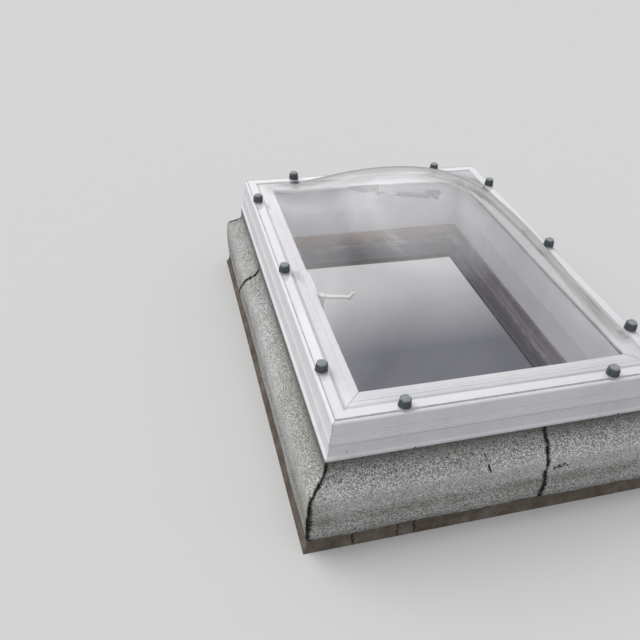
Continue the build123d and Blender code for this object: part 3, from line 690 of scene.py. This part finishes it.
def white_plastic(name, clean, shaded, stain, roughness, side_lines, top_lines):
    """Weathered white plastic profile, mitred at the corners of the window."""
    finish = Finish(name, Roughness=roughness)
    outward, off_mitre = outward_of(finish)
    depth = finish.calc("SUBTRACT", sash_top, finish.at("Z"))
    sway = finish.span(finish.noise(35.0, 4, 0.6), 0.3, 0.7, -1.5 * mm, 1.5 * mm)
    off_weld = finish.calc("ABSOLUTE", finish.calc("ADD", off_mitre, sway))
    weld = finish.span(off_weld, 0.8 * mm, 2.6 * mm, 1.0, 0.0)
    cloud = finish.noise(4.0, 6, 0.62)
    run = finish.noise(1.0, 5, 0.6, stretch=(30, 30, 3.0))
    speck = finish.noise(210.0, 3, 0.75)
    body = finish.ramp(cloud, (0.3, shaded), (0.62, clean))
    body = finish.mix(finish.span(run, 0.52, 0.78, 0.0, 0.22), body, stain)
    body = finish.mix(finish.span(speck, 0.66, 0.8, 0.0, 0.4), body, stain)
    patchy = finish.span(finish.noise(5.0, 4, 0.6), 0.3, 0.6, 0.45, 1.0)
    on_face = finish.span(outward, -5 * mm, -3 * mm)
    on_top = finish.span(depth, 9 * mm, 11 * mm, 1.0, 0.0)
    for where, mask, lines in ((depth, on_face, side_lines), (outward, on_top, top_lines)):
        for middle, reach, share in lines:
            off_line = finish.off(where, middle * mm)
            mark = finish.span(off_line, reach * 0.35 * mm, reach * mm, share, 0.0)
            mark = finish.times(finish.times(mark, mask), patchy)
            body = finish.mix(mark, body, linear(112, 110, 112))
    body = finish.mix(lip_dark_band(finish, outward, depth), body, linear(66, 62, 58))
    weld_dirt = finish.times(weld, finish.span(depth, 4 * mm, 12 * mm, 0.7, 0.3))
    finish.colour(finish.mix(weld_dirt, body, linear(148, 140, 126)))
    finish.roughness(finish.span(cloud, 0.3, 0.7, roughness + 0.12, roughness - 0.04))
    finish.bump(finish.noise(60.0, 4, 0.6), 0.25 * mm, 0.5)
    finish.bump(weld, 0.3 * mm, -0.5)
    return finish


# Lines as their middle and reach in mm and how dark they are: on the sides by depth
# below the sash top, on the top by distance outward from the edge
sash_lines = [(37, 3.5, 0.2), (44, 1.2, 0.35), (50, 1.0, 0.4), (58, 5.0, 0.12)]
sash_top_lines = [(-43, 5.0, 0.2), (-52, 1.2, 0.2), (-66, 5.0, 0.1)]
# Painted shade: the frame's line at 67 mm darkens the gap under the sash.
frame_lines = [(67, 2.2, 0.55), (104, 4.0, 0.15)]
frame_white = white_plastic(
    "frame_plastic",
    linear(232, 231, 234),
    linear(218, 217, 220),
    linear(178, 175, 172),
    0.42,
    frame_lines,
    [],
)
sash_white = white_plastic(
    "sash_plastic",
    linear(243, 242, 245),
    linear(232, 231, 235),
    linear(196, 193, 192),
    0.36,
    sash_lines,
    sash_top_lines,
)
dress(frame_white, "fixed_frame")
dress(sash_white, "sash_frame")


# Seal: a soft black rubber section, pressed into the top of the fixed frame all round.
# The sash closes on it.
rubber = Finish("seal_rubber", Base_Color=linear(40, 40, 41), Roughness=0.7)
rubber.bump(rubber.noise(300.0, 3, 0.6), 0.2 * mm)
dress(rubber, "frame_gasket")


# Screws, pins, spindle and screw eye: turned steel with a dull zinc plating, driven
# into the profiles and the timber.
zinc = Finish("zinc_plate", Metallic=1.0, Roughness=0.38)
zinc_cloud = zinc.noise(160.0, 5, 0.6)
zinc.colour(zinc.ramp(zinc_cloud, (0.3, linear(146, 146, 146)), (0.7, linear(190, 190, 188))))
zinc.roughness(zinc.span(zinc_cloud, 0.3, 0.7, 0.3, 0.52))
dress(zinc, "frame_screws", "dome_screws", "handle_screws", "handle_spindle", "lining_eye")
dress(zinc, "hinge_screws_fixed", "hinge_screws_sash", "hinge_pin_front", "hinge_pin_back")


# Hinges and handle: steel leaves on the right side, and a plate, lever and keeper on the
# left one, coated with white enamel and screwed to the two frames.
enamel = Finish("white_enamel", Roughness=0.38)
enamel_cloud = enamel.noise(26.0, 5, 0.65)
enamel.colour(
    enamel.ramp(enamel_cloud, (0.3, linear(236, 235, 232)), (0.6, linear(247, 247, 246)))
)
enamel.bump(enamel.noise(340.0, 3, 0.6), 0.12 * mm)
dress(enamel, "handle_plate", "handle_lever", "latch_keeper")
for place in ("front", "back"):
    dress(enamel, "hinge_sash_leaf_" + place, "hinge_fixed_leaf_" + place)


# Gas spring: a cylinder in grey lacquer with a bright plated rod, which slides in it. It
# hangs between pressed steel brackets on the two frames, on a stud at each end.
lacquer = Finish("grey_lacquer", Roughness=0.42)
lacquer_cloud = lacquer.noise(40.0, 5, 0.6)
lacquer.colour(lacquer.ramp(lacquer_cloud, (0.3, linear(70, 71, 74)), (0.7, linear(90, 92, 95))))
dress(lacquer, "spring_tube")

steel = Finish("bracket_steel", Metallic=0.5, Roughness=0.5)
steel_cloud = steel.noise(90.0, 5, 0.65)
steel.colour(steel.ramp(steel_cloud, (0.3, linear(58, 59, 61)), (0.7, linear(92, 93, 95))))
dress(steel, "spring_tube_socket", "spring_rod_socket")
dress(steel, "spring_fixed_bracket", "spring_sash_bracket")

chrome = Finish("bright_rod", Metallic=1.0, Roughness=0.12, Base_Color=linear(214, 216, 218))
chrome.bump(chrome.noise(500.0, 2, 0.5), 0.03 * mm)
dress(chrome, "spring_rod")


# Dome: two blown acrylic skins, clamped flat at the edge and free to swell in the
# middle. Rain and dust have left a film and dried lines on the right flank.
skin_thick = 3 * mm
skin_seat = 0.2 * mm
flange_edge = 8.15 * mm
flange_lines = 5
skin_columns = 110
skin_rows = 150
outer_flange = 37 * mm
inner_flange = 50 * mm
outer_rise = 160 * mm
inner_rise = 134 * mm
edge_power = 2.1
hold_power = 3.0
crown_power = 2.9
even_share = 0.55
sharp_edge = math.radians(50)

acrylic = Finish("clear_acrylic", Roughness=0.015, IOR=1.49, Transmission_Weight=1.0)
film_in = acrylic.calc("SUBTRACT", 0.0, outward_of(acrylic)[0])
film_x = acrylic.at("X")
film_y = acrylic.at("Y")
near_fade = acrylic.span(film_y, -480 * mm, -330 * mm)
far_fade = acrylic.span(film_y, 400 * mm, 500 * mm, 1.0, 0.0)
corner_fade = acrylic.times(near_fade, far_fade)

# The film: on the right flank and faintly at the far end, with a line where the flange
# turns up into the blown part
film_streaks = acrylic.noise(1.0, 5, 0.65, stretch=(55, 3.5, 30))
lee_side = acrylic.span(film_x, 300 * mm, 370 * mm)
lee_side = acrylic.times(lee_side, acrylic.span(film_streaks, 0.38, 0.62, 0.45, 1.0))
lee_side = acrylic.times(lee_side, corner_fade)
far_patches = acrylic.span(acrylic.noise(6.0, 4, 0.6), 0.35, 0.65, 0.6, 1.0)
far_side = acrylic.times(acrylic.span(film_y, 440 * mm, 520 * mm, 0.0, 0.12), far_patches)
film_share = acrylic.calc("MAXIMUM", lee_side, far_side)
film_share = acrylic.times(film_share, acrylic.span(film_in, 36 * mm, 39 * mm))
kick_line = acrylic.span(acrylic.off(film_in, 37.5 * mm), 0.8 * mm, 5.5 * mm, 0.35, 0.0)
film_share = acrylic.calc("MAXIMUM", film_share, kick_line)
filmed = acrylic.mix(film_share, (1.0, 1.0, 1.0, 1.0), linear(203, 199, 194))

# The dried lines: the edges that puddles left on the right flank
dried = acrylic.off(acrylic.noise(1.0, 3, 0.5, stretch=(52, 3.2, 34)), 0.5)
dried = acrylic.span(dried, 0.01, 0.05, 0.55, 0.0)
dried = acrylic.times(dried, corner_fade)
dried = acrylic.times(dried, acrylic.span(film_x, 325 * mm, 350 * mm))
dried = acrylic.times(dried, acrylic.span(film_in, 34 * mm, 37 * mm))
acrylic.colour(acrylic.mix(dried, filmed, linear(126, 121, 113)))

# Daylight falls through the skins unbent, so that what is under them is lit
light_rays = acrylic.add("ShaderNodeLightPath", {}).outputs
passing = acrylic.calc("MAXIMUM", light_rays["Is Shadow Ray"], light_rays["Is Diffuse Ray"])
unbent = acrylic.add("ShaderNodeBsdfTransparent", {"Color": (0.98, 0.98, 0.98, 1.0)}).outputs[0]
glazing = acrylic.add(
    "ShaderNodeMixShader", {0: passing, 1: acrylic.shader.outputs[0], 2: unbent}
).outputs[0]
acrylic.tree.links.new(glazing, acrylic.tree.nodes["Material Output"].inputs["Surface"])

sawn_edge = Finish("sawn_acrylic", Roughness=0.6)
sawn_dirt = sawn_edge.noise(30.0, 4, 0.6)
sawn_edge.colour(
    sawn_edge.ramp(sawn_dirt, (0.35, linear(176, 176, 178)), (0.65, linear(222, 222, 224)))
)


def dome_height(u, v, rise):
    """Height of a blown skin at u, v from -1 to 1: 45 degree sides, rounded over a crown."""
    across = max(0.0, 1 - abs(u) ** edge_power)
    along = max(0.0, 1 - abs(v) ** edge_power)
    held = (across * along) ** hold_power
    return rise * (1 - (1 - held) ** crown_power) ** (1 / crown_power)


def skin_lines(half, flange, count):
    """Grid lines across a skin: a few on each flange and many, closer at the edge, between."""
    outer = half - flange_edge
    inner = half - flange
    steps = range(flange_lines)
    lines = [-outer + (outer - inner) * step / flange_lines for step in steps]
    for step in range(count + 1):
        share = -math.cos(math.pi * step / count)
        even = -1 + 2 * step / count
        lines.append(inner * (even_share * even + (1 - even_share) * share))
    lines += [outer - (outer - inner) * step / flange_lines for step in reversed(steps)]
    return lines


def skin_piece(name, flange, rise, underside):
    """A blown skin as one closed sheet: its top, its underside and the flange's edge."""
    low = sash_top - underside
    shrink = skin_thick * (math.sqrt(2) - 1)
    top_face = (flange, low + skin_thick - skin_seat)
    under_face = (flange + shrink, low + skin_seat)
    points = []
    for edge, base in (top_face, under_face):
        xs = skin_lines(half_w, edge, skin_columns)
        ys = skin_lines(half_l, edge, skin_rows)
        for y in ys:
            for x in xs:
                u = min(1.0, abs(x) / (half_w - edge))
                v = min(1.0, abs(y) / (half_l - edge))
                points.append((x, y, base + dome_height(u, v, rise)))
    columns = len(xs)
    rows = len(ys)
    sheet = columns * rows
    faces = []
    for row in range(rows - 1):
        for column in range(columns - 1):
            a = row * columns + column
            faces.append((a, a + 1, a + columns + 1, a + columns))
            faces.append((a + sheet, a + columns + sheet, a + columns + 1 + sheet, a + 1 + sheet))
    loop = list(range(columns - 1))
    loop += [row * columns + columns - 1 for row in range(rows - 1)]
    loop += [(rows - 1) * columns + column for column in range(columns - 1, 0, -1)]
    loop += [row * columns for row in range(rows - 1, 0, -1)]
    edge_start = len(faces)
    for a, b in zip(loop, loop[1:] + loop[:1]):
        faces.append((a, a + sheet, b + sheet, b))
    piece = new_piece(name, points, faces, acrylic)
    piece.data.materials.append(sawn_edge.material)
    for face in piece.data.polygons[edge_start:]:
        face.material_index = 1
        face.use_smooth = False
    piece.data.set_sharp_from_angle(angle=sharp_edge)
    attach(piece, "sash")
    return piece


outer_skin = skin_piece("outer_skin", outer_flange, outer_rise, -2 * mm)
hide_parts("dome_outer")
inner_skin = skin_piece("inner_skin", inner_flange, inner_rise, 3 * mm)
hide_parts("dome_inner")


# Tapes: soft white foam tape, stuck in a ring under each flange of the dome. The upper
# ring keeps the two skins apart.
spacer_outer = 8.3 * mm
spacer_inner = 33 * mm
spacer_low, spacer_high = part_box("dome_spacer")

tape = Finish("foam_tape", Base_Color=linear(238, 237, 240), Roughness=0.8)
tape.bump(tape.noise(400.0, 3, 0.6), 0.2 * mm)
dress(tape, "dome_gasket")

spacer_section = (
    (spacer_outer, spacer_low[2]),
    (spacer_inner, spacer_low[2]),
    (spacer_inner, spacer_high[2]),
    (spacer_outer, spacer_high[2]),
)
spacer_points = []
for inset, height in spacer_section:
    for sx, sy in ((-1, -1), (1, -1), (1, 1), (-1, 1)):
        spacer_points.append((sx * (half_w - inset), sy * (half_l - inset), height))
spacer_faces = []
for part in range(4):
    here = part * 4
    after = (part + 1) % 4 * 4
    for corner in range(4):
        turn = (corner + 1) % 4
        spacer_faces.append((after + corner, after + turn, here + turn, here + corner))
spacer = new_piece("spacer_ring", spacer_points, spacer_faces, tape, smooth=False)
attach(spacer, "sash")
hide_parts("dome_spacer")


# Screw caps: ten hexagonal caps of slate-grey plastic over the dome screws, each on
# its own flared base. The sun has bleached their tops.
cap_steps = 72
cap_corners = 6
corner_limit = 1.1
sharp_ring = math.radians(28)
screw_inset = 18 * mm
side_pitch = 419 * mm
end_place = 264.7 * mm
cap_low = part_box("cap_bases")[0][2]
base_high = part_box("cap_bases")[1][2]
cap_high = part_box("screw_caps")[1][2]

slate = Finish("slate_plastic", Roughness=0.5)
slate_cloud = slate.noise(140.0, 5, 0.7)
slate_body = slate.ramp(slate_cloud, (0.3, linear(58, 65, 68)), (0.7, linear(88, 97, 99)))
slate_top = slate.ramp(slate_cloud, (0.3, linear(128, 135, 134)), (0.7, linear(162, 168, 166)))
sunned = slate.span(slate.at("Z"), cap_high - 3 * mm, cap_high - 1 * mm, 0.0, 0.95)
slate.colour(slate.mix(sunned, slate_body, slate_top))
slate.bump(slate.noise(420.0, 3, 0.6), 0.25 * mm)

washer = Finish("pale_washer", Roughness=0.45)
above_rim = washer.span(washer.at("Z"), cap_low + 1.6 * mm, cap_low + 3.2 * mm)
washer.colour(washer.mix(above_rim, linear(196, 198, 198), linear(62, 70, 72)))


def turned_piece(name, rings, finish):
    """A closed shape round the origin, from rings of radius in mm, height and hexagon share."""
    points = []
    for radius, height, hexed in rings:
        for step in range(cap_steps):
            angle = math.tau * step / cap_steps
            inside = math.degrees(angle) % (360 / cap_corners) - 180 / cap_corners
            flat = radius / math.cos(math.radians(inside))
            across = radius + hexed * (min(flat, radius * corner_limit) - radius)
            points.append((across * math.cos(angle) * mm, across * math.sin(angle) * mm, height))
    last_ring = len(points) - cap_steps
    faces = [tuple(range(cap_steps))[::-1], tuple(range(last_ring, len(points)))]
    for ring in range(len(rings) - 1):
        for step in range(cap_steps):
            a = ring * cap_steps + step
            b = ring * cap_steps + (step + 1) % cap_steps
            faces.append((a, b, b + cap_steps, a + cap_steps))
    piece = new_piece(name, points, faces, finish)
    piece.data.set_sharp_from_angle(angle=sharp_ring)
    return piece


def repeat_group():
    """A node group that sets one shape on every point, each with a slight turn of its own."""
    group = bpy.data.node_groups.new("repeat", "GeometryNodeTree")
    face = group.interface
    face.new_socket("Geometry", in_out="INPUT", socket_type="NodeSocketGeometry")
    face.new_socket("Shape", in_out="INPUT", socket_type="NodeSocketObject")
    face.new_socket("Finish", in_out="INPUT", socket_type="NodeSocketMaterial")
    face.new_socket("Most Turn", in_out="INPUT", socket_type="NodeSocketFloat")
    face.new_socket("Seed", in_out="INPUT", socket_type="NodeSocketInt")
    face.new_socket("Geometry", in_out="OUTPUT", socket_type="NodeSocketGeometry")
    wire = group.links.new
    start = group.nodes.new("NodeGroupInput").outputs
    info = group.nodes.new("GeometryNodeObjectInfo")
    turn = group.nodes.new("FunctionNodeRandomValue")
    turn.data_type = "FLOAT"
    least = group.nodes.new("ShaderNodeMath")
    least.operation = "MULTIPLY"
    least.inputs[1].default_value = -1.0
    spin = group.nodes.new("ShaderNodeCombineXYZ")
    spots = group.nodes.new("GeometryNodeInstanceOnPoints")
    real = group.nodes.new("GeometryNodeRealizeInstances")
    painted = group.nodes.new("GeometryNodeSetMaterial")
    wire(start["Shape"], info.inputs["Object"])
    wire(start["Most Turn"], least.inputs[0])
    wire(least.outputs[0], turn.inputs[2])
    wire(start["Most Turn"], turn.inputs[3])
    wire(start["Seed"], turn.inputs["Seed"])
    wire(turn.outputs[1], spin.inputs["Z"])
    wire(start["Geometry"], spots.inputs["Points"])
    wire(info.outputs["Geometry"], spots.inputs["Instance"])
    wire(spin.outputs[0], spots.inputs["Rotation"])
    wire(spots.outputs[0], real.inputs[0])
    wire(real.outputs[0], painted.inputs["Geometry"])
    wire(start["Finish"], painted.inputs["Material"])
    wire(painted.outputs[0], group.nodes.new("NodeGroupOutput").inputs[0])
    return group


repeat = repeat_group()
cap_places = []
for sx in (-1, 1):
    for row in (-1, 0, 1):
        cap_places.append((sx * (half_w - screw_inset), row * side_pitch, 0.0))
for sx in (-1, 1):
    for sy in (-1, 1):
        cap_places.append((sx * end_place, sy * (half_l - screw_inset), 0.0))


def repeated(name, shape, finish, most_turn, seed):
    """The shape on every cap place as one mesh."""
    piece = new_piece(name, cap_places, [], finish)
    maker = piece.modifiers.new("repeat", "NODES")
    maker.node_group = repeat
    wanted = {"Shape": shape, "Finish": finish.material, "Most Turn": most_turn, "Seed": seed}
    for item in repeat.interface.items_tree:
        if item.in_out == "INPUT" and item.name in wanted:
            maker[item.identifier] = wanted[item.name]
    evaluated = piece.evaluated_get(bpy.context.evaluated_depsgraph_get())
    made = bpy.data.meshes.new_from_object(evaluated)
    piece.modifiers.clear()
    piece.data = made
    bpy.data.objects.remove(shape)
    return piece


base_rings = [
    (15.9, cap_low, 0),
    (16.4, cap_low + 0.6 * mm, 0),
    (16.4, cap_low + 1.6 * mm, 0),
    (15.6, cap_low + 2.2 * mm, 0),
    (14.6, cap_low + 4 * mm, 0),
    (13.4, base_high, 0),
]
cap_rings = [
    (14.0, base_high + 0.1 * mm, 1),
    (14.45, base_high + 0.5 * mm, 1),
    (14.3, base_high + 2.5 * mm, 1),
    (12.9, cap_high - 4.0 * mm, 1),
    (12.2, cap_high - 2.4 * mm, 1),
    (10.9, cap_high - 0.5 * mm, 0.8),
    (10.0, cap_high, 0.4),
    (9.4, cap_high - 0.7 * mm, 0),
    (8.8, cap_high - 0.7 * mm, 0),
    (8.4, cap_high - 0.1 * mm, 0),
    (2.0, cap_high, 0),
]
base_shape = turned_piece("base_shape", base_rings, washer)
cap_shape = turned_piece("cap_shape", cap_rings, slate)
base_set = repeated("washer_set", base_shape, washer, 0.1, 3)
cap_set = repeated("cap_set", cap_shape, slate, 0.08, 5)
for piece, node in ((base_set, "cap_bases"), (cap_set, "screw_caps")):
    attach(piece, "sash")
    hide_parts(node)
